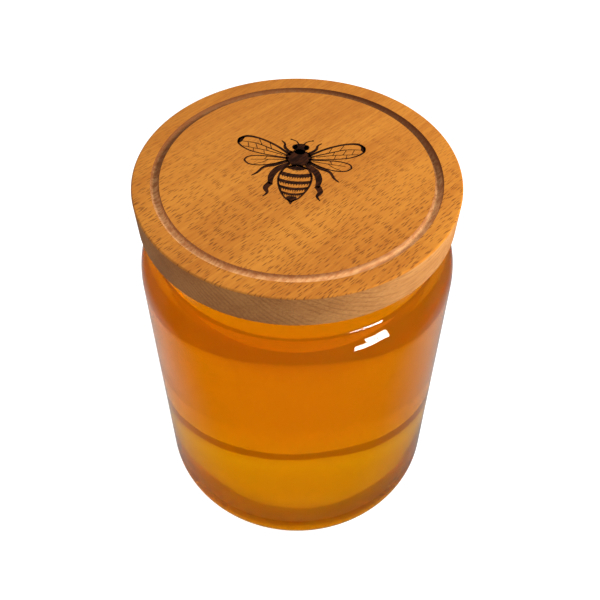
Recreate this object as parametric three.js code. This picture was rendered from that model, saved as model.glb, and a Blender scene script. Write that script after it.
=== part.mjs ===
// A glass storage jar filled with honey and shut with a turned beech lid.
// Millimetres, +Z up. The origin is the middle of the face that the jar stands on.

import * as THREE from "three";
import { mergeVertices } from "three/addons/utils/BufferGeometryUtils.js";

// Driving dimensions of the whole jar
const TOTAL_HEIGHT = 134;
const LID_RADIUS = 47;
const LID_THICKNESS = 11.2;
const BODY_RADIUS = 48.6;
const WALL = 3; // thickness of the glass in the wall, shoulder and neck
const GAP = 0.3; // clear space between neighbouring pieces

// Foot of the glass
const HEEL_RADIUS = 9.7; // rounded outside corner
const FOOT_RING_WIDTH = 8; // flat ring that touches the table
const PUNT_HEIGHT = 1.5; // how far the middle of the underside is pushed up
const FLOOR_HEIGHT = 8; // top of the thick glass floor
const FLOOR_CORNER = 9; // rounded inside corner

// Shoulder of the glass, a quarter of an upright ellipse that ends in a hollow curve
const SHOULDER_DROP = 34; // from the top of the lid down to where the wall turns in
const SHOULDER_REACH = 7.5; // level half-axis of the outside ellipse
const SHOULDER_RISE = 13; // upright half-axis of the outside ellipse
const SHOULDER_TURN = 68; // degrees of the ellipse that are used outside
const BORE_TURN = 80; // degrees of the ellipse that are used inside
const NECK_FILLET = 2; // radius of the hollow curve under the neck
const RIM_ROUNDING = 1;

// Honey, filled into the root of the neck
const HONEY_DROP = 16.5; // from the top of the lid down to the honey

// Lid: disc, ring groove in its top, and the low step that centres it in the mouth
const LID_TAPER = 0.3; // how much smaller the disc is at its lower edge
const LID_TOP_EDGE = 0.5;
const LID_LOWER_EDGE = 0.4;
const GROOVE_OUTER = 41.6;
const GROOVE_INNER = 39.1;
const GROOVE_DEPTH = 1.3;
const STEP_DEPTH = 3;
const STEP_CLEARANCE = 0.6;
const STEP_BEVEL = 0.6;

const SEGMENTS = 64; // facets round the axis

// Heights and radii that follow from the driving dimensions
const lidBottom = TOTAL_HEIGHT - LID_THICKNESS;
const rimTop = lidBottom - GAP;
const shoulderStart = TOTAL_HEIGHT - SHOULDER_DROP;
const shoulderCentre = BODY_RADIUS - SHOULDER_REACH;
const honeyTop = TOTAL_HEIGHT - HONEY_DROP;
const boreRadius = BODY_RADIUS - WALL;

// Points of an elliptical arc from one angle to another, in degrees, both ends included
function arc(centreR, centreZ, halfR, halfZ, fromDeg, toDeg, steps) {
  const points = [];
  for (let i = 0; i <= steps; i += 1) {
    const angle = THREE.MathUtils.degToRad(fromDeg + ((toDeg - fromDeg) * i) / steps);
    const r = centreR + halfR * Math.cos(angle);
    const z = centreZ + halfZ * Math.sin(angle);
    points.push(new THREE.Vector2(r, z));
  }
  return points;
}

// The shoulder set in from the outside by a margin: the ellipse, then the hollow curve that
// brings it upright again. The last point is the root of the neck.
function shoulder(margin, turnDeg) {
  const halfR = SHOULDER_REACH - margin;
  const halfZ = SHOULDER_RISE - margin;
  const points = arc(shoulderCentre, shoulderStart, halfR, halfZ, 0, turnDeg, 9);
  const end = points[points.length - 1];
  const turn = THREE.MathUtils.degToRad(turnDeg);
  const lean = Math.atan2(halfR * Math.sin(turn), halfZ * Math.cos(turn));
  const leanDeg = THREE.MathUtils.radToDeg(lean);
  const fillet = NECK_FILLET + Math.max(margin - WALL, 0);
  const centreR = end.x + fillet * Math.cos(lean);
  const centreZ = end.y + fillet * Math.sin(lean);
  points.push(...arc(centreR, centreZ, fillet, fillet, 180 + leanDeg, 180, 4).slice(1));
  return points;
}

// The inside of the glass, or the honey against it, from the floor up to the neck's root
function cavity(gap) {
  const corner = FLOOR_CORNER - gap;
  const radius = boreRadius - gap;
  const floor = FLOOR_HEIGHT + gap;
  return [
    new THREE.Vector2(0, floor),
    ...arc(radius - corner, floor + corner, corner, corner, -90, 0, 8),
    ...shoulder(WALL + gap, BORE_TURN),
  ];
}

// A closed solid turned about Z from an outline that starts and ends on the axis
function turned(outline) {
  const lathe = new THREE.LatheGeometry(outline, SEGMENTS);
  lathe.deleteAttribute("normal");
  lathe.deleteAttribute("uv");
  lathe.rotateX(Math.PI / 2);
  const merged = mergeVertices(lathe, 1e-3);
  const corners = merged.index.array;
  const kept = [];
  for (let i = 0; i < corners.length; i += 3) {
    const [a, b, c] = corners.slice(i, i + 3);
    if (a !== b && b !== c && c !== a) {
      kept.push(a, b, c);
    }
  }
  merged.setIndex(kept);
  merged.computeVertexNormals();
  return merged;
}

// Glass: pushed-up underside, foot ring, heel, wall, shoulder, neck and rim, then back down
// the inside to the floor
function jarOutline() {
  const ringOuter = BODY_RADIUS - HEEL_RADIUS;
  const ringInner = ringOuter - FOOT_RING_WIDTH;
  const puntSteps = 6;
  const points = [];
  for (let i = 0; i <= puntSteps; i += 1) {
    const share = i / puntSteps;
    points.push(new THREE.Vector2(ringInner * share, PUNT_HEIGHT * (1 - share * share)));
  }
  points.push(...arc(ringOuter, HEEL_RADIUS, HEEL_RADIUS, HEEL_RADIUS, -90, 0, 8));
  points.push(...shoulder(0, SHOULDER_TURN));
  const neckRadius = points[points.length - 1].x;
  const inside = cavity(0).reverse();
  const neckBore = inside[0].x;
  const rimMiddle = rimTop - RIM_ROUNDING;
  points.push(...arc(neckRadius - RIM_ROUNDING, rimMiddle, RIM_ROUNDING, RIM_ROUNDING, 0, 90, 3));
  points.push(...arc(neckBore + RIM_ROUNDING, rimMiddle, RIM_ROUNDING, RIM_ROUNDING, 90, 180, 3));
  points.push(...inside);
  return points;
}

// Honey: everything inside the glass up to the fill level
function honeyOutline() {
  const points = cavity(GAP);
  const neck = points[points.length - 1];
  points.push(new THREE.Vector2(neck.x, honeyTop));
  points.push(new THREE.Vector2(0, honeyTop));
  return points;
}

// Lid: centring step, disc with softened edges and a round-bottomed ring groove
function lidOutline() {
  const mouth = cavity(0).pop().x;
  const stepRadius = mouth - STEP_CLEARANCE;
  const stepBottom = lidBottom - STEP_DEPTH;
  const lowerRadius = LID_RADIUS - LID_TAPER;
  const grooveMiddle = (GROOVE_OUTER + GROOVE_INNER) / 2;
  const grooveHalf = (GROOVE_OUTER - GROOVE_INNER) / 2;
  return [
    new THREE.Vector2(0, stepBottom),
    new THREE.Vector2(stepRadius - STEP_BEVEL, stepBottom),
    new THREE.Vector2(stepRadius, stepBottom + STEP_BEVEL),
    new THREE.Vector2(stepRadius, lidBottom),
    ...arc(lowerRadius - LID_LOWER_EDGE, lidBottom + LID_LOWER_EDGE,
      LID_LOWER_EDGE, LID_LOWER_EDGE, -90, 0, 3),
    ...arc(LID_RADIUS - LID_TOP_EDGE, TOTAL_HEIGHT - LID_TOP_EDGE,
      LID_TOP_EDGE, LID_TOP_EDGE, 0, 90, 3),
    ...arc(grooveMiddle, TOTAL_HEIGHT, grooveHalf, GROOVE_DEPTH, 0, -180, 8),
    new THREE.Vector2(0, TOTAL_HEIGHT),
  ];
}

function piece(name, outline, material) {
  const mesh = new THREE.Mesh(turned(outline), material);
  mesh.name = name;
  return mesh;
}

const clearGlass = new THREE.MeshStandardMaterial({
  color: 0xe9f1ee,
  roughness: 0.03,
  metalness: 0,
  transparent: true,
  opacity: 0.35,
});
const amberHoney = new THREE.MeshStandardMaterial({
  color: 0xd07a0a,
  roughness: 0.08,
  metalness: 0,
});
const oiledBeech = new THREE.MeshStandardMaterial({
  color: 0xd2853c,
  roughness: 0.55,
  metalness: 0,
});

const jar = new THREE.Group();
jar.add(piece("glass_jar", jarOutline(), clearGlass));
jar.add(piece("honey", honeyOutline(), amberHoney));
jar.add(piece("beech_lid", lidOutline(), oiledBeech));

export default jar;
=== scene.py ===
# A glass jar filled with honey and shut with a turned beech lid that carries a burnt bee.
# Metres, +Z up, the shown side faces -Y. The object's sizes are named in millimetres and
# scaled by MM, and those of the stage are in metres.
import math
import random

import bmesh
import bpy
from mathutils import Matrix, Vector


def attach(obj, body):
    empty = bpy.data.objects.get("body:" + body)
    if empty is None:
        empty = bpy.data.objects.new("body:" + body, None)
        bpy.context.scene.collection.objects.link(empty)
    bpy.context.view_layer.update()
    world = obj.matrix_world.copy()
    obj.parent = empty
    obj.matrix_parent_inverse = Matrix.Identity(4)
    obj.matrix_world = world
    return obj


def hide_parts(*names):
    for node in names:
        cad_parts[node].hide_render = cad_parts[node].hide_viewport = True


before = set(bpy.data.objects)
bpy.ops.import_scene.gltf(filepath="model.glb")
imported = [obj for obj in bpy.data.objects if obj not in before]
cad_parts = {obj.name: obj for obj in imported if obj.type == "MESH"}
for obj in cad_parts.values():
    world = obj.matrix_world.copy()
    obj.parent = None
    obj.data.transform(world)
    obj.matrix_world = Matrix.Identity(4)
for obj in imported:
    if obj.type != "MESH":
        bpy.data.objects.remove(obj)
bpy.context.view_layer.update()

MM = 0.001

# Driving sizes, the same as in the solids
TOTAL_HEIGHT = 134
LID_RADIUS = 47
LID_THICKNESS = 11.2
BODY_RADIUS = 48.6
WALL = 3
GAP = 0.3  # between the rim and the lid
HEEL_RADIUS = 9.7
FOOT_RING_WIDTH = 8
PUNT_HEIGHT = 1.5
FLOOR_HEIGHT = 8  # top of the thick glass floor
FLOOR_CORNER = 9
SHOULDER_DROP = 34  # from the top of the lid down to where the wall turns in
SHOULDER_REACH = 7.5  # level half-axis of the outside ellipse
SHOULDER_RISE = 13  # upright half-axis of the outside ellipse
SHOULDER_TURN = 68  # degrees of the ellipse that are used outside
BORE_TURN = 80  # degrees of the ellipse that are used inside
NECK_FILLET = 2
RIM_ROUNDING = 1
HONEY_DROP = 16.5  # from the top of the lid down to the honey
LID_TAPER = 0.3
LID_TOP_EDGE = 0.5
LID_LOWER_EDGE = 0.4
GROOVE_OUTER = 41.6
GROOVE_INNER = 39.1
GROOVE_DEPTH = 1.3
STEP_DEPTH = 3
STEP_CLEARANCE = 0.6
STEP_BEVEL = 0.6

# Sizes of the looks alone
HONEY_REACH = 0.3  # how far the honey reaches into the wall, so that no air gap shows
HAZE_INSET = 0.1  # the haze stays this far inside the honey
BURN_HEIGHT = 0.03  # the wood lies this far below the burnt lines
SEGMENTS = 256  # facets round the axis
SAME_POINT = 1e-4  # nearer than this, two points are one, and a point lies on the axis

lid_bottom = TOTAL_HEIGHT - LID_THICKNESS
rim_top = lid_bottom - GAP
lid_top = TOTAL_HEIGHT - BURN_HEIGHT
shoulder_start = TOTAL_HEIGHT - SHOULDER_DROP
shoulder_centre = BODY_RADIUS - SHOULDER_REACH
honey_top = TOTAL_HEIGHT - HONEY_DROP
bore_radius = BODY_RADIUS - WALL
groove_middle = (GROOVE_OUTER + GROOVE_INNER) / 2
groove_half = (GROOVE_OUTER - GROOVE_INNER) / 2


# Outlines, as lists of (radius, height) in millimetres

def arc(centre_r, centre_z, half_r, half_z, from_deg, to_deg, steps):
    """Points of an elliptical arc from one angle to another, both ends included."""
    points = []
    for i in range(steps + 1):
        angle = math.radians(from_deg + (to_deg - from_deg) * i / steps)
        points.append((centre_r + half_r * math.cos(angle), centre_z + half_z * math.sin(angle)))
    return points


def shoulder(margin, turn_deg):
    """The shoulder set in by a margin, and the hollow curve that ends at the neck's root."""
    half_r = SHOULDER_REACH - margin
    half_z = SHOULDER_RISE - margin
    points = arc(shoulder_centre, shoulder_start, half_r, half_z, 0, turn_deg, steps=32)
    end_r, end_z = points[-1]
    turn = math.radians(turn_deg)
    lean = math.atan2(half_r * math.sin(turn), half_z * math.cos(turn))
    fillet = NECK_FILLET + max(margin - WALL, 0)
    centre_r = end_r + fillet * math.cos(lean)
    centre_z = end_z + fillet * math.sin(lean)
    hollow = arc(centre_r, centre_z, fillet, fillet, 180 + math.degrees(lean), 180, steps=12)
    points += hollow[1:]
    return points


def cavity(gap):
    """The inside of the glass, or the honey against it, from the floor up to the neck's root."""
    corner = FLOOR_CORNER - gap
    radius = bore_radius - gap
    floor = FLOOR_HEIGHT + gap
    points = [(0, floor)]
    points += arc(radius - corner, floor + corner, corner, corner, -90, 0, steps=24)
    points += shoulder(WALL + gap, BORE_TURN)
    return points


def foot_and_wall():
    """The outside of the glass, from the middle of the underside up to the neck's root."""
    ring_outer = BODY_RADIUS - HEEL_RADIUS
    ring_inner = ring_outer - FOOT_RING_WIDTH
    punt_steps = 16
    points = []
    for i in range(punt_steps + 1):
        share = i / punt_steps
        points.append((ring_inner * share, PUNT_HEIGHT * (1 - share * share)))
    points += arc(ring_outer, HEEL_RADIUS, HEEL_RADIUS, HEEL_RADIUS, -90, 0, steps=24)
    points += shoulder(0, SHOULDER_TURN)
    return points


# Turned pieces

def turned(name, parts, crease_deg=35):
    """A closed piece turned about Z. Each part is an outline and the material of its faces."""
    mesh = bpy.data.meshes.new(name)
    builder = bmesh.new()
    materials = []
    rings = []
    spans = []
    for outline, material in parts:
        if material not in materials:
            materials.append(material)
        for r, z in outline:
            if rings and math.dist((r, z), rings[-1][0]) < SAME_POINT:
                continue
            if r < SAME_POINT:
                corners = [builder.verts.new((0, 0, z * MM))]
            else:
                corners = [
                    builder.verts.new((
                        r * math.cos(2 * math.pi * i / SEGMENTS) * MM,
                        r * math.sin(2 * math.pi * i / SEGMENTS) * MM,
                        z * MM,
                    ))
                    for i in range(SEGMENTS)
                ]
            if rings:
                spans.append((rings[-1][1], corners, materials.index(material)))
            rings.append(((r, z), corners))
    for lower, upper, slot in spans:
        for i in range(SEGMENTS):
            j = (i + 1) % SEGMENTS
            if len(lower) == 1:
                face = builder.faces.new((lower[0], upper[j], upper[i]))
            elif len(upper) == 1:
                face = builder.faces.new((lower[i], lower[j], upper[0]))
            else:
                face = builder.faces.new((lower[i], lower[j], upper[j], upper[i]))
            face.material_index = slot
            face.smooth = True
    bmesh.ops.recalc_face_normals(builder, faces=builder.faces)
    builder.to_mesh(mesh)
    builder.free()
    mesh.set_sharp_from_angle(angle=math.radians(crease_deg))
    for material in materials:
        mesh.materials.append(material)
    piece = bpy.data.objects.new(name, mesh)
    bpy.context.scene.collection.objects.link(piece)
    return piece


# Material helpers

class Nodes:
    """A short way to add and link the nodes of one material."""

    def __init__(self, name, owner=None):
        self.material = owner or bpy.data.materials.new(name)
        self.material.use_nodes = True
        self.tree = self.material.node_tree
        self.shader = self.tree.nodes.get("Principled BSDF")
        self.output = self.tree.nodes.get("Material Output")

    def add(self, kind, inputs=None, **settings):
        node = self.tree.nodes.new("ShaderNode" + kind)
        for key, value in settings.items():
            setattr(node, key, value)
        for key, value in (inputs or {}).items():
            if isinstance(value, bpy.types.NodeSocket):
                self.tree.links.new(value, node.inputs[key])
            else:
                node.inputs[key].default_value = value
        return node

    def link(self, source, target):
        self.tree.links.new(source, target)

    def math(self, operation, a, b=0.0):
        return self.add("Math", {0: a, 1: b}, operation=operation).outputs[0]

    def ramp(self, value, low, high, to_low=0.0, to_high=1.0):
        """The value mapped smoothly from one range to another, and held at its ends."""
        node = self.add(
            "MapRange",
            {"Value": value, "From Min": low, "From Max": high, "To Min": to_low, "To Max": to_high},
            interpolation_type="SMOOTHSTEP",
        )
        return node.outputs["Result"]

    def noise(self, place, detail, scale=1.0):
        return self.add("TexNoise", {"Vector": place, "Scale": scale, "Detail": detail}).outputs["Fac"]

    def mix_value(self, share, a, b):
        return self.add("Mix", {0: share, 2: a, 3: b}, data_type="FLOAT").outputs[0]

    def mix(self, share, a, b, blend="MIX"):
        node = self.add("Mix", data_type="RGBA", blend_type=blend)
        factor, first, second = node.inputs[0], node.inputs[6], node.inputs[7]
        for socket, value in ((factor, share), (first, a), (second, b)):
            if isinstance(value, bpy.types.NodeSocket):
                self.link(value, socket)
            else:
                socket.default_value = value
        return node.outputs[2]


def srgb(red, green, blue):
    """A linear colour from its usual 0 to 255 values."""
    def linear(value):
        value /= 255
        return value / 12.92 if value <= 0.04045 else ((value + 0.055) / 1.055) ** 2.4
    return (linear(red), linear(green), linear(blue), 1.0)


# Glass and honey

GLASS_IOR = 1.52
UNBENT = 1.0  # index of a surface with the same clear stuff on both sides
RIPPLES = 22.0  # slow unevenness of the glass, for each metre
RIPPLE_DEPTH = 0.001
HONEY_ABSORPTION = (4.6, 17.4, 120.0)  # red, green and blue, for each metre
HAZE_DENSITY = 8.0  # for each metre
HAZE_FORWARD = 0.6  # how strongly the haze sends light on in its own direction


def clear(name, index):
    """A smooth clear material that bends and mirrors light by its index."""
    n = Nodes(name)
    shader = n.shader.inputs
    shader["Base Color"].default_value = (1, 1, 1, 1)
    shader["Roughness"].default_value = 0.0
    shader["IOR"].default_value = index
    shader["Transmission Weight"].default_value = 1.0
    return n


def clear_glass():
    n = clear("clear_glass", GLASS_IOR)
    ripple = n.noise(n.add("TexCoord").outputs["Object"], detail=1.0, scale=RIPPLES)
    bump = n.add("Bump", {"Height": ripple, "Strength": 1.0, "Distance": RIPPLE_DEPTH})
    n.link(bump.outputs["Normal"], n.shader.inputs["Normal"])
    return n.material


def wetted_glass():
    """The inner wall where honey lies against it: nothing is mirrored or bent there."""
    return clear("wetted_glass", UNBENT).material


def clear_honey():
    n = clear("clear_honey", UNBENT)
    density = max(HONEY_ABSORPTION)
    colour = [1 - value / density for value in HONEY_ABSORPTION]
    volume = n.add("VolumeAbsorption", {"Color": (*colour, 1), "Density": density})
    n.link(volume.outputs["Volume"], n.output.inputs["Volume"])
    return n.material


def honey_haze():
    """Pollen and fine bubbles, which spread light through the honey."""
    n = Nodes("honey_haze")
    n.tree.nodes.remove(n.shader)
    haze = n.add(
        "VolumeScatter",
        {"Color": (1, 1, 1, 1), "Density": HAZE_DENSITY, "Anisotropy": HAZE_FORWARD},
    )
    n.link(haze.outputs["Volume"], n.output.inputs["Volume"])
    return n.material


# Beech, cut along the grain. Its flecks and rings run along one level direction.

GRAIN_DEG = 45  # direction of the grain in the lid's plane, from +X
WANDER = 1.6  # how far the grain strays from a straight line, in millimetres
STREAK_WEIGHT = 0.48  # share of the fine streaks in the wood's tone, beside the broad ones
END_GRAIN = srgb(228, 216, 202)
END_GRAIN_NARROWING = 1.6  # above 1, only the sides that face along the grain show it fully
GROWTH_LINE = srgb(142, 88, 42)
GROWTH_LINE_STRENGTH = 0.35
FAINTEST_GROWTH_LINE = 0.25
RING_SPACING = 1.35  # between the growth lines, in millimetres
RING_SLOPE = (0.75, -0.66)  # weights of the ways across the grain and up in their count

# Two layers of flecks: length and width of the cells in millimetres, the share of the cells
# that holds a fleck, and a shift in cells that sets one layer apart from the other
FLECK_LAYERS = (
    (5.2, 0.68, 0.85, 0.0),
    (4.2, 0.62, 0.7, 5.7),
)
FLECK_DISORDER = 0.82
FLECK_CORE = 0.06  # a fleck is darkest this near its middle, in cells
FLECK_EDGE = 0.27  # and ends this far from it
FLECK_FULL = 0.35  # a cell drawn this far below the share holds a full fleck
FLECK_NONE = 0.15  # a cell drawn this far above the share holds none
FLECK_SHEEN_FROM = -20  # painted sheen: the flecks fade from here towards the back, in millimetres
FLECK_SHEEN_TO = 30
BACK_FLECKS_UNDER_SHEEN = 0.3  # to this share of their strength

RAW_GROOVE_PALE = srgb(236, 178, 118)
RAW_GROOVE_DEEP = srgb(210, 142, 86)
# Painted shade in the groove: it grows darker towards the back of the lid
GROOVE_BACK_SHADE = srgb(112, 58, 18)
GROOVE_SHADE_FROM = -24  # painted shade: the groove darkens from here towards the back, in millimetres
GROOVE_SHADE_TO = 12  # and is darkest behind here
GROOVE_SHADE_WAVER = 20  # how unevenly the painted shade begins, in millimetres
GROOVE_SHADE_STRENGTH = 0.8
# Painted shade along both edges of the groove, where its walls fall into shadow
GROOVE_EDGE_SHADE = srgb(120, 66, 34)
GROOVE_EDGE_SHADE_STRENGTH = 0.6
BURNT_DARK = srgb(36, 16, 8)
BURNT_PALE = srgb(70, 34, 14)


def grain_place(n):
    """Object coordinates in millimetres, turned so that X runs along the grain."""
    place = n.add("TexCoord").outputs["Object"]
    per_metre = 1 / MM
    return n.add(
        "Mapping",
        {
            "Vector": place,
            "Rotation": (0, 0, -math.radians(GRAIN_DEG)),
            "Scale": (per_metre, per_metre, per_metre),
        },
        vector_type="POINT",
    ).outputs["Vector"]


def stretched(n, place, along, across, up, shift=0.0):
    """The place counted in pattern sizes, which are millimetres along, across and up."""
    return n.add(
        "Mapping",
        {
            "Vector": place,
            "Scale": (1 / along, 1 / across, 1 / up),
            "Location": (shift, shift, shift),
        },
    ).outputs["Vector"]


def towards_back(n):
    """How far behind the jar's axis a place of the piece lies, in metres."""
    return n.add("SeparateXYZ", {0: n.add("TexCoord").outputs["Object"]}).outputs["Y"]


def from_axis(n, place):
    """The level part of a place, which points straight away from the jar's axis."""
    return n.add("VectorMath", {0: place, 1: (1, 1, 0)}, operation="MULTIPLY").outputs[0]


def wandering(n, place):
    """The place moved a little to and fro, so that lines drawn there aren't quite straight."""
    slow = stretched(n, place, 30, 9, 9)
    drift = n.add("TexNoise", {"Vector": slow, "Scale": 1.0, "Detail": 1.0}).outputs["Color"]
    centred = n.add("VectorMath", {0: drift, 1: (0.5, 0.5, 0.5)}, operation="SUBTRACT").outputs[0]
    moved = n.add("VectorMath", {0: centred, "Scale": WANDER}, operation="SCALE").outputs[0]
    return n.add("VectorMath", {0: place, 1: moved}, operation="ADD").outputs[0]


def flecks(n, place, length, width, share, shift, flat):
    """Short spindle-shaped flecks along the grain, 1 inside a fleck and 0 between them."""
    cells = n.add(
        "TexVoronoi",
        {
            "Vector": stretched(n, place, length, width, width, shift),
            "Scale": 1.0,
            "Randomness": FLECK_DISORDER,
        },
        feature="F1",
        voronoi_dimensions="2D" if flat else "3D",
    )
    shape = n.ramp(cells.outputs["Distance"], FLECK_CORE, FLECK_EDGE, 1.0, 0.0)
    drawn = n.add("SeparateColor", {0: cells.outputs["Color"]}).outputs[0]
    chosen = n.ramp(drawn, share - FLECK_FULL, share + FLECK_NONE, 1.0, 0.0)
    return n.math("MULTIPLY", shape, chosen)


def end_grain_share(n, place):
    """1 where the turned side cuts straight across the grain, 0 where it lies along the grain."""
    way = n.add("VectorMath", {0: from_axis(n, place)}, operation="NORMALIZE")
    along = n.add("SeparateXYZ", {0: way.outputs[0]}).outputs["X"]
    return n.math("POWER", n.math("ABSOLUTE", along), END_GRAIN_NARROWING)


def growth_lines(n, place):
    """Thin lines that slant down the turned side, where it cuts through the growth rings."""
    where = n.add("SeparateXYZ", {0: place}).outputs
    across = n.math("MULTIPLY", where["Y"], RING_SLOPE[0])
    up = n.math("MULTIPLY", where["Z"], RING_SLOPE[1])
    turns = n.math("MULTIPLY", n.math("ADD", across, up), 2 * math.pi / RING_SPACING)
    line = n.ramp(n.math("SINE", turns), 0.1, 1.0)
    patches = n.noise(stretched(n, place, 8, 5, 5), detail=2.0)
    return n.math("MULTIPLY", line, n.ramp(patches, 0.35, 0.6, FAINTEST_GROWTH_LINE, 1.0))


def wood_surface(n, colour, roughness, gloss, height=None, strength=0.0, depth=0.0):
    """Sets the shader of a wood: its colour, its dull shine and, where a height is given, its
    relief. The depth is in millimetres."""
    n.link(colour, n.shader.inputs["Base Color"])
    n.shader.inputs["Roughness"].default_value = roughness
    n.shader.inputs["Specular IOR Level"].default_value = gloss
    if height is not None:
        bump = n.add("Bump", {"Height": height, "Strength": strength, "Distance": depth * MM})
        n.link(bump.outputs["Normal"], n.shader.inputs["Normal"])
    return n.material


def beech(name, pale, deep, fleck_colour, fleck_amount, roughness, flat=True):
    """Beech with broad and fine streaks and dark flecks. The turned side also shows end grain."""
    n = Nodes(name)
    place = grain_place(n)
    lines = wandering(n, place)
    broad = n.noise(stretched(n, place, 60, 14, 9), detail=3.0)
    streaks = n.noise(stretched(n, lines, 12, 0.6, 0.6), detail=4.0)
    deepness = n.ramp(n.mix_value(STREAK_WEIGHT, broad, streaks), 0.34, 0.66)
    colour = n.mix(deepness, pale, deep)
    first, second = (flecks(n, lines, *layer, flat) for layer in FLECK_LAYERS)
    # Painted sheen: the flecks grow fainter towards the back, as though the oil's shine washed them
    # out
    behind = fleck_amount * BACK_FLECKS_UNDER_SHEEN
    strength = n.ramp(towards_back(n), FLECK_SHEEN_FROM * MM, FLECK_SHEEN_TO * MM, fleck_amount, behind)
    dark = n.math("MULTIPLY", n.math("MAXIMUM", first, second), strength)
    colour = n.mix(dark, colour, fleck_colour)
    if not flat:
        rings = n.math("MULTIPLY", growth_lines(n, lines), GROWTH_LINE_STRENGTH)
        colour = n.mix(rings, colour, GROWTH_LINE)
        colour = n.mix(end_grain_share(n, place), colour, END_GRAIN, "MULTIPLY")
    height = n.math("SUBTRACT", n.math("MULTIPLY", streaks, 0.4), dark)
    return wood_surface(n, colour, roughness, gloss=0.3, height=height, strength=0.4, depth=0.15)


def shaded_groove():
    """The groove's raw pale wood, with painted shade: darker towards the back and along both edges."""
    n = Nodes("shaded_groove")
    place = grain_place(n)
    streaks = n.noise(stretched(n, place, 3, 0.7, 0.7), detail=3.0)
    deepness = n.ramp(streaks, 0.35, 0.65)
    colour = n.mix(deepness, RAW_GROOVE_PALE, RAW_GROOVE_DEEP)
    # painted shade, darker towards the back of the groove and starting unevenly
    shade_waver = n.math("MULTIPLY", n.math("SUBTRACT", streaks, 0.5), GROOVE_SHADE_WAVER * MM)
    back = n.math("ADD", towards_back(n), shade_waver)
    back_shade = n.ramp(back, GROOVE_SHADE_FROM * MM, GROOVE_SHADE_TO * MM, 0.0, GROOVE_SHADE_STRENGTH)
    colour = n.mix(back_shade, colour, GROOVE_BACK_SHADE)
    # painted shade, darker near both edges of the groove
    radius = n.add("VectorMath", {0: from_axis(n, place)}, operation="LENGTH").outputs["Value"]
    aside = n.math("ABSOLUTE", n.math("SUBTRACT", radius, groove_middle))
    edge = n.ramp(aside, groove_half / 2, groove_half, 0.0, GROOVE_EDGE_SHADE_STRENGTH)
    colour = n.mix(edge, colour, GROOVE_EDGE_SHADE)
    return wood_surface(n, colour, roughness=0.7, gloss=0.2, height=streaks, strength=0.5, depth=0.2)


def burnt_wood():
    n = Nodes("burnt_wood")
    place = grain_place(n)
    streaks = n.noise(stretched(n, place, 3, 0.6, 0.6), detail=3.0)
    patches = n.noise(place, detail=2.0, scale=0.35)
    paleness = n.ramp(n.mix_value(0.4, streaks, patches), 0.4, 0.66)
    colour = n.mix(paleness, BURNT_DARK, BURNT_PALE)
    return wood_surface(n, colour, roughness=0.75, gloss=0.15)


# Jar, honey and lid

glass = clear_glass()
outside = foot_and_wall()
neck_radius = outside[-1][0]
inside = cavity(0)
neck_bore = inside[-1][0]
rim_middle = rim_top - RIM_ROUNDING
rim = arc(neck_radius - RIM_ROUNDING, rim_middle, RIM_ROUNDING, RIM_ROUNDING, 0, 90, steps=8)
rim += arc(neck_bore + RIM_ROUNDING, rim_middle, RIM_ROUNDING, RIM_ROUNDING, 90, 180, steps=8)
rim.append((neck_bore, honey_top))
jar_glass = turned("jar_glass", [(outside + rim, glass), (inside[::-1], wetted_glass())])
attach(jar_glass, "root")
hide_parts("glass_jar")

honey_side = cavity(-HONEY_REACH)
honey_outline = honey_side + [(honey_side[-1][0], honey_top), (0, honey_top)]
honey_fill = turned("honey_fill", [(honey_outline, clear_honey())])
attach(honey_fill, "root")
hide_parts("honey")

haze_side = cavity(HAZE_INSET)
haze_top = honey_top - HAZE_INSET
haze_outline = haze_side + [(haze_side[-1][0], haze_top), (0, haze_top)]
haze = turned("honey_haze", [(haze_outline, honey_haze())])
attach(haze, "root")

oiled_beech = beech(
    "oiled_beech",
    pale=srgb(209, 133, 43),
    deep=srgb(186, 109, 30),
    fleck_colour=srgb(112, 56, 16),
    fleck_amount=0.8,
    roughness=0.5,
)
raw_beech = beech(
    "raw_beech",
    pale=srgb(204, 144, 80),
    deep=srgb(180, 118, 58),
    fleck_colour=srgb(122, 72, 32),
    fleck_amount=0.5,
    roughness=0.65,
    flat=False,
)

step_radius = neck_bore - STEP_CLEARANCE
step_bottom = lid_bottom - STEP_DEPTH
lower_radius = LID_RADIUS - LID_TAPER
under_and_side = [
    (0, step_bottom),
    (step_radius - STEP_BEVEL, step_bottom),
    (step_radius, step_bottom + STEP_BEVEL),
    (step_radius, lid_bottom),
]
under_and_side += arc(lower_radius - LID_LOWER_EDGE, lid_bottom + LID_LOWER_EDGE,
                      LID_LOWER_EDGE, LID_LOWER_EDGE, -90, 0, steps=6)
under_and_side.append((LID_RADIUS, lid_top - LID_TOP_EDGE))
top_edge = arc(LID_RADIUS - LID_TOP_EDGE, lid_top - LID_TOP_EDGE,
               LID_TOP_EDGE, LID_TOP_EDGE, 0, 90, steps=8)
top_edge.append((GROOVE_OUTER, lid_top))
groove = arc(groove_middle, lid_top, groove_half, GROOVE_DEPTH, 0, -180, steps=24)
lid_wood = turned("lid_wood", [
    (under_and_side, raw_beech),
    (top_edge, oiled_beech),
    (groove, shaded_groove()),
    ([(0, lid_top)], oiled_beech),
])
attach(lid_wood, "root")
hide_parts("beech_lid")


# Burnt bee, drawn in its own frame: millimetres, +X to the viewer's right, +Y towards its head

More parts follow.
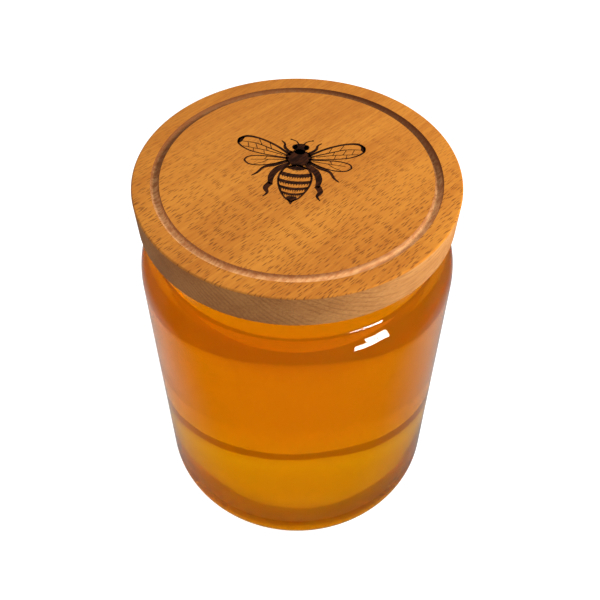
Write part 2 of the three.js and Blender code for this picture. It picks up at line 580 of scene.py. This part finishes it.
BEE_CENTRE = (-0.3, 0.4)
BEE_TURN_DEG = -7
BURN_SINK = 0.2  # the burnt shapes reach this far into the wood
ABDOMEN_TOP = 3.4
ABDOMEN_END = -12.2
ABDOMEN_HALF = 4.7
ABDOMEN_FORWARD = 0.72  # below 1, the widest place lies nearer the waist
ABDOMEN_BLUNT = 0.62  # below 1, both ends are blunter
BANDS = ((2.6, 1.5), (-0.7, 1.5), (-3.7, 1.3), (-6.3, 1.1), (-8.6, 0.9))  # height, thickness
BAND_SAG = 0.9  # how far the ends of a band lie above its middle
BAND_DROP = 0.6  # how far its middle lies below the height given
BAND_HAIR = 0.7
HAIR_ROOT = 0.1  # a band's hairs start this far above its lower edge
THORAX_Y = 6.6
THORAX_HALF = 3.8
THORAX_HALF_Y = THORAX_HALF * 0.92
THORAX_HAIRS = 64
HEAD_Y = 11.4


def smooth(points, closed=False, steps=7):
    """A smooth curve through the points."""
    curve = []
    last = len(points) - 1
    for i in range(len(points) if closed else last):
        if closed:
            a, b, c, d = (points[(i + k) % len(points)] for k in (-1, 0, 1, 2))
        else:
            a, b, c, d = (points[min(max(i + k, 0), last)] for k in (-1, 0, 1, 2))
        for k in range(steps):
            t = k / steps
            curve.append(tuple(
                0.5 * (2 * q + (r - p) * t + (2 * p - 5 * q + 4 * r - w) * t * t
                       + (3 * q - p - 3 * r + w) * t ** 3)
                for p, q, r, w in zip(a, b, c, d)
            ))
    if not closed:
        curve.append(points[-1])
    return curve


class Burning:
    """Collects flat burnt shapes and makes one piece of them, sunk a little into the wood."""

    def __init__(self):
        self.builder = bmesh.new()
        self.turn = math.radians(BEE_TURN_DEG)

    def corner(self, point, z):
        x, y = point
        return self.builder.verts.new((
            (BEE_CENTRE[0] + x * math.cos(self.turn) - y * math.sin(self.turn)) * MM,
            (BEE_CENTRE[1] + x * math.sin(self.turn) + y * math.cos(self.turn)) * MM,
            z * MM,
        ))

    def patch(self, outline):
        """A closed flat shape, given by its outline."""
        top = [self.corner(point, TOTAL_HEIGHT) for point in outline]
        low = [self.corner(point, lid_top - BURN_SINK) for point in outline]
        faces = [self.builder.faces.new(top), self.builder.faces.new(low[::-1])]
        for i in range(len(outline)):
            j = (i + 1) % len(outline)
            self.builder.faces.new((top[i], low[i], low[j], top[j]))
        bmesh.ops.triangulate(self.builder, faces=faces, ngon_method="EAR_CLIP")

    def stroke(self, points, widths):
        """A line along a smooth curve. The widths are spread evenly from its start to its end."""
        curve = smooth(points)
        left, right = [], []
        for i, (x, y) in enumerate(curve):
            back_x, back_y = curve[max(i - 1, 0)]
            next_x, next_y = curve[min(i + 1, len(curve) - 1)]
            run = math.hypot(next_x - back_x, next_y - back_y)
            side_x = -(next_y - back_y) / run
            side_y = (next_x - back_x) / run
            where = i / (len(curve) - 1) * (len(widths) - 1)
            k = min(int(where), len(widths) - 2)
            half = (widths[k] + (widths[k + 1] - widths[k]) * (where - k)) / 2
            left.append((x + side_x * half, y + side_y * half))
            right.append((x - side_x * half, y - side_y * half))
        top = [[self.corner(p, TOTAL_HEIGHT) for p in line] for line in (left, right)]
        low = [[self.corner(p, lid_top - BURN_SINK) for p in line] for line in (left, right)]
        for i in range(len(curve) - 1):
            j = i + 1
            self.builder.faces.new((top[0][i], top[1][i], top[1][j], top[0][j]))
            self.builder.faces.new((low[0][i], low[0][j], low[1][j], low[1][i]))
            self.builder.faces.new((top[0][i], top[0][j], low[0][j], low[0][i]))
            self.builder.faces.new((top[1][i], low[1][i], low[1][j], top[1][j]))
        for i in (0, -1):
            self.builder.faces.new((top[0][i], low[0][i], low[1][i], top[1][i]))

    def piece(self, name, material):
        bmesh.ops.recalc_face_normals(self.builder, faces=self.builder.faces)
        mesh = bpy.data.meshes.new(name)
        self.builder.to_mesh(mesh)
        self.builder.free()
        mesh.materials.append(material)
        made = bpy.data.objects.new(name, mesh)
        bpy.context.scene.collection.objects.link(made)
        return made


def oval(x, y, half_x, half_y, steps=28):
    points = []
    for i in range(steps):
        angle = 2 * math.pi * i / steps
        points.append((x + half_x * math.cos(angle), y + half_y * math.sin(angle)))
    return points


def body_width(y):
    """Half the width of the abdomen at a height between its waist and its sting."""
    share = (ABDOMEN_TOP - y) / (ABDOMEN_TOP - ABDOMEN_END)
    share = min(max(share, 0), 1)
    return ABDOMEN_HALF * math.sin(math.pi * share ** ABDOMEN_FORWARD) ** ABDOMEN_BLUNT


def draw_band(burn, y, thickness):
    """A band that sags in its middle, with short hairs along its lower edge."""
    steps = 6
    high = y + thickness / 2
    low = y - thickness / 2
    upper = []
    lower = []
    for i in range(-steps, steps + 1):
        share = i / steps
        rise = BAND_SAG * share * share - BAND_DROP
        upper.append((share * body_width(high), high + rise))
        lower.append((share * body_width(low), low + rise))
    burn.patch(upper + lower[::-1])
    for i in range(1 - steps, steps):
        share = i / steps
        x = share * body_width(y)
        root = low + BAND_SAG * share * share - BAND_DROP + HAIR_ROOT
        burn.stroke([(x, root), (x * 0.96, root - BAND_HAIR)], [0.3, 0.05])


def draw_abdomen(burn):
    """The outline of the abdomen, its bands and its dark tip with the sting."""
    steps = 12
    heights = [ABDOMEN_TOP + (ABDOMEN_END - ABDOMEN_TOP) * i / steps for i in range(steps + 1)]
    for side in (-1, 1):
        burn.stroke([(side * body_width(y), y) for y in heights], [0.7, 0.6, 0.6, 0.5])
    for y, thickness in BANDS:
        draw_band(burn, y, thickness)
    tip = [(-1.5, -10.4), (0, -9.9), (1.5, -10.4), (0.5, -12.4), (0, -13.3), (-0.5, -12.4)]
    burn.patch(smooth(tip, closed=True))


def draw_front(burn):
    """Thorax and head with their hair, eyes and feelers."""
    rng = random.Random(5)
    burn.patch(oval(0, THORAX_Y, THORAX_HALF, THORAX_HALF_Y))
    burn.patch(oval(0, HEAD_Y, 2.3, 1.8))
    burn.patch(oval(0, HEAD_Y - 2.0, 1.6, 1.2))
    feeler = [(0.7, 1.3), (1.5, 2.7), (3.1, 3.5)]
    for side in (-1, 1):
        burn.patch(oval(side * 1.75, HEAD_Y + 0.15, 0.8, 1.15, steps=16))
        burn.stroke([(side * x, HEAD_Y + y) for x, y in feeler], [0.45, 0.35, 0.3])
        burn.patch(oval(side * 3.2, HEAD_Y + 3.5, 0.35, 0.28, steps=12))
    for i in range(THORAX_HAIRS):
        angle = 2 * math.pi * i / THORAX_HAIRS + rng.uniform(-0.04, 0.04)
        reach = rng.uniform(1.08, 1.24)
        x = THORAX_HALF * math.cos(angle)
        y = THORAX_HALF_Y * math.sin(angle)
        root = (x * 0.9, THORAX_Y + y * 0.9)
        tip = (x * reach, THORAX_Y + y * reach)
        burn.stroke([root, tip], [0.32, 0.06])


def draw_legs(burn, side):
    """The three legs of one side. The last leg is drawn in two parts."""
    legs = (
        ([(2.4, 8.6), (4.5, 10.8), (4.9, 12.8), (6.0, 14.0)], [0.9, 0.9, 0.6, 0.3]),
        ([(2.9, 5.2), (6.4, 3.0), (9.5, 1.4), (11.0, -1.1), (12.5, -2.6)], [1.1, 1.4, 0.9, 0.7, 0.3]),
        ([(2.4, 3.9), (5.4, 1.2), (6.8, -2.2), (6.6, -5.6)], [1.2, 2.1, 1.9, 1.1]),
        ([(6.6, -5.0), (7.7, -7.2), (7.0, -9.2), (8.0, -10.9)], [1.9, 1.6, 0.8, 0.3]),
    )
    for points, widths in legs:
        burn.stroke([(side * x, y) for x, y in points], widths)


def draw_wings(burn, side):
    """A long front wing and a shorter hind wing, with simple branching veins."""
    front_edge = [(2.6, 7.6), (7.0, 11.3), (12.2, 14.1), (16.4, 14.9), (18.6, 13.5)]
    front_back = [(18.6, 13.5), (18.4, 11.2), (15.2, 8.6), (10.2, 7.2), (5.6, 6.6), (2.8, 6.4)]
    hind_edge = [(3.0, 6.0), (7.2, 6.3), (11.6, 6.4), (14.8, 5.5), (15.6, 3.9)]
    hind_back = [(15.6, 3.9), (14.0, 2.4), (10.6, 2.2), (6.8, 3.4), (3.2, 5.2)]
    burn_lines = (
        (front_edge, [0.9, 0.75, 0.7, 0.95, 0.8]),
        (front_back, [0.8, 0.45, 0.35, 0.35]),
        (hind_edge, [0.5, 0.4, 0.45, 0.55]),
        (hind_back, [0.55, 0.4, 0.35]),
        ([(3.4, 7.4), (8.4, 9.8), (13.2, 11.9), (17.6, 12.4)], [0.5, 0.35, 0.2]),
        ([(5.0, 7.6), (9.6, 8.9), (13.4, 9.6), (17.0, 10.2)], [0.3, 0.25, 0.18]),
        ([(8.4, 9.8), (9.2, 12.2)], [0.22, 0.2]),
        ([(11.4, 11.1), (12.6, 13.9)], [0.22, 0.2]),
        ([(9.6, 8.9), (10.2, 10.6)], [0.22, 0.2]),
        ([(12.6, 9.5), (13.4, 11.8)], [0.22, 0.2]),
        ([(15.2, 10.0), (15.8, 12.3)], [0.2, 0.18]),
        ([(10.2, 7.3), (10.6, 9.0)], [0.2, 0.18]),
        ([(13.6, 8.1), (13.8, 9.6)], [0.2, 0.18]),
        ([(4.2, 5.5), (8.6, 5.0), (13.8, 4.4)], [0.3, 0.22, 0.18]),
        ([(8.6, 5.0), (10.4, 3.5), (12.6, 2.5)], [0.22, 0.18]),
        ([(9.2, 6.3), (9.8, 4.9)], [0.2, 0.18]),
    )
    for points, widths in burn_lines:
        burn.stroke([(side * x, y) for x, y in points], widths)
    tip = [(16.9, 14.8), (18.9, 13.6), (18.7, 11.4), (17.7, 12.2), (17.5, 13.8)]
    burn.patch([(side * x, y) for x, y in smooth(tip, closed=True)])


burning = Burning()
draw_abdomen(burning)
draw_front(burning)
for bee_side in (-1, 1):
    draw_legs(burning, bee_side)
    draw_wings(burning, bee_side)
burnt_bee = burning.piece("burnt_bee", burnt_wood())
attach(burnt_bee, "root")


# Floor, light and camera. Wood, the outside of the glass, and everything seen through the
# honey each see their own strength of the same pale studio.

FLOOR_SIZE = 6
FLOOR_SINK = 0.00005  # the floor lies this far below the foot
FLOOR_PALE = 0.3
FLOOR_GLOW = 0.95
FLOOR_THROUGH_GLASS = 1.0
FLOOR_ON_WOOD = 0.35
FLOOR_MIRRORED = 0.42
MIRRORED_FROM = -0.06  # in front of here, along Y, the glass mirrors no floor
MIRRORED_FULL = 0.03  # and behind here the most
MIRRORED_NEAR = 0.11  # the mirrored floor fades from this far from the jar's axis
MIRRORED_FAR = 0.24
MIRRORED_REST = 0.2  # to this share of its strength
SKY_STRENGTH = 1.15
SKY_ON_WOOD_LEFT = 0.62
SKY_ON_WOOD_RIGHT = 0.7
SKY_ON_WOOD_SIDE = 0.8  # where the sky is at its left or right strength, along X
SKY_MIRRORED = 0.08
SKY_MIRRORED_FROM = -0.1  # in front of here, along Y, the glass mirrors no sky
SKY_MIRRORED_FULL = 0.6  # and behind here the most


def mirrored_outside(n, ray):
    """1 for light that the outside of a piece mirrors, 0 for light that came through glass."""
    outside_ray = n.math("LESS_THAN", ray.outputs["Transmission Depth"], 0.5)
    return n.math("MULTIPLY", outside_ray, ray.outputs["Is Glossy Ray"])


def pale_floor():
    """A pale table that glows softly. In front of the jar the glass hardly mirrors it."""
    bpy.ops.mesh.primitive_plane_add(size=FLOOR_SIZE, location=(0, 0, -FLOOR_SINK))
    floor = bpy.context.object
    floor.name = "floor"
    n = Nodes("pale_floor")
    n.tree.nodes.remove(n.shader)
    ray = n.add("LightPath")
    place = n.add("TexCoord").outputs["Object"]
    back = n.add("SeparateXYZ", {0: place}).outputs["Y"]
    away = n.add("VectorMath", {0: place}, operation="LENGTH").outputs["Value"]
    far_strength = FLOOR_MIRRORED * MIRRORED_REST
    near = n.ramp(away, MIRRORED_NEAR, MIRRORED_FAR, FLOOR_MIRRORED, far_strength)
    mirrored = n.math("MULTIPLY", n.ramp(back, MIRRORED_FROM, MIRRORED_FULL), near)
    through = n.math("GREATER_THAN", ray.outputs["Transmission Depth"], 0.5)
    seen_glow = n.mix_value(through, FLOOR_GLOW, FLOOR_THROUGH_GLASS)
    strength = n.mix_value(ray.outputs["Is Diffuse Ray"], seen_glow, FLOOR_ON_WOOD)
    matt = n.add("BsdfDiffuse", {"Color": (FLOOR_PALE, FLOOR_PALE, FLOOR_PALE, 1)})
    glow = n.add("Emission", {"Color": (1, 1, 1, 1), "Strength": strength})
    lit = n.add("AddShader", {0: matt.outputs[0], 1: glow.outputs[0]})
    image = n.add("Emission", {"Color": (1, 1, 1, 1), "Strength": mirrored})
    seen = n.add("MixShader", {0: mirrored_outside(n, ray), 1: lit.outputs[0], 2: image.outputs[0]})
    n.link(seen.outputs[0], n.output.inputs["Surface"])
    n.material.cycles.emission_sampling = "NONE"
    floor.data.materials.append(n.material)


def soft_sky():
    world = bpy.data.worlds.new("soft_sky")
    bpy.context.scene.world = world
    n = Nodes("soft_sky", world)
    ray = n.add("LightPath")
    way = n.add("SeparateXYZ", {0: n.add("TexCoord").outputs["Generated"]})
    mirrored = n.ramp(way.outputs["Y"], SKY_MIRRORED_FROM, SKY_MIRRORED_FULL, 0.0, SKY_MIRRORED)
    side = SKY_ON_WOOD_SIDE
    on_wood = n.ramp(way.outputs["X"], -side, side, SKY_ON_WOOD_LEFT, SKY_ON_WOOD_RIGHT)
    strength = n.mix_value(ray.outputs["Is Diffuse Ray"], SKY_STRENGTH, on_wood)
    strength = n.mix_value(mirrored_outside(n, ray), strength, mirrored)
    background = n.tree.nodes["Background"].inputs
    background["Color"].default_value = (1, 1, 1, 1)
    n.link(strength, background["Strength"])
    world.cycles.sampling_method = "NONE"


# The highlight panels light only what is in this collection
glass_alone = bpy.data.collections.new("glass_alone")
glass_alone.objects.link(jar_glass)


def soft_panel(name, place, target, width, height, watts, highlight_only=False):
    """An even panel of light. The glass mirrors only the panels that are made for highlights."""
    data = bpy.data.lights.new(name, "AREA")
    data.shape = "RECTANGLE"
    data.size = width
    data.size_y = height
    data.energy = watts
    lamp = bpy.data.objects.new(name, data)
    bpy.context.scene.collection.objects.link(lamp)
    lamp.location = place
    lamp.rotation_euler = (Vector(target) - Vector(place)).to_track_quat("-Z", "Y").to_euler()
    lamp.visible_glossy = highlight_only
    if highlight_only:
        lamp.visible_diffuse = False
        lamp.visible_transmission = False
        lamp.visible_volume_scatter = False
        lamp.light_linking.receiver_collection = glass_alone


PANEL_TARGET = Vector((0.02, -0.042, 0.112))  # on the front of the shoulder
PANEL_AWAY = 0.3
PANEL_RADIANCE = 40
PANE_SHARE = 0.92  # of a pane's step, and the rest is the bar beside it


def highlight_panels(azimuth_low, azimuth_high, elevation_low, elevation_high, panes):
    """Window-like panes that show only as highlights on the shoulder of the glass. Their
    angles are in degrees: to the right of the front, and above level."""
    step = (azimuth_high - azimuth_low) / panes
    elevation = math.radians((elevation_low + elevation_high) / 2)
    height = PANEL_AWAY * math.radians(elevation_high - elevation_low)
    width = PANEL_AWAY * math.cos(elevation) * math.radians(step) * PANE_SHARE
    watts = PANEL_RADIANCE * math.pi * width * height
    for i in range(panes):
        azimuth = math.radians(azimuth_low + (i + 0.5) * step)
        way = Vector((
            math.sin(azimuth) * math.cos(elevation),
            -math.cos(azimuth) * math.cos(elevation),
            math.sin(elevation),
        ))
        name = f"highlight_{round(elevation_low)}_{i}"
        place = PANEL_TARGET + way * PANEL_AWAY
        soft_panel(name, place, PANEL_TARGET, width, height, watts, highlight_only=True)


# The camera looks down on the lid at the angle of the photograph
CAMERA_BACK = 3.8455  # lid radii from the axis
CAMERA_RISE = 3.2813  # lid radii above the lid
CAMERA_DIP = 0.8582  # radians below level
FOCAL_PIXELS = 825.45
PICTURE_PIXELS = 600
CENTRE_PIXEL = 297.1

camera_data = bpy.data.cameras.new("camera")
camera_data.sensor_width = 36
camera_data.lens = FOCAL_PIXELS * camera_data.sensor_width / PICTURE_PIXELS
camera_data.shift_x = (PICTURE_PIXELS / 2 - CENTRE_PIXEL) / PICTURE_PIXELS
camera_data.clip_start = 0.01
camera = bpy.data.objects.new("camera", camera_data)
bpy.context.scene.collection.objects.link(camera)
camera.location = (
    0,
    -CAMERA_BACK * LID_RADIUS * MM,
    (TOTAL_HEIGHT + CAMERA_RISE * LID_RADIUS) * MM,
)
camera.rotation_euler = (math.pi / 2 - CAMERA_DIP, 0, 0)
bpy.context.scene.camera = camera

pale_floor()
soft_sky()
soft_panel(
    "key_light",
    place=(0.62, -0.05, 0.42),
    target=(0, 0, 0.12),
    width=0.4,
    height=0.3,
    watts=7,
)
highlight_panels(azimuth_low=33, azimuth_high=59, elevation_low=-2, elevation_high=8, panes=3)
highlight_panels(azimuth_low=42, azimuth_high=59, elevation_low=10, elevation_high=21, panes=2)

scene = bpy.context.scene
scene.view_settings.view_transform = "Standard"
scene.cycles.max_bounces = 32
scene.cycles.transmission_bounces = 32
scene.cycles.glossy_bounces = 16
scene.cycles.volume_bounces = 8
scene.cycles.transparent_max_bounces = 32
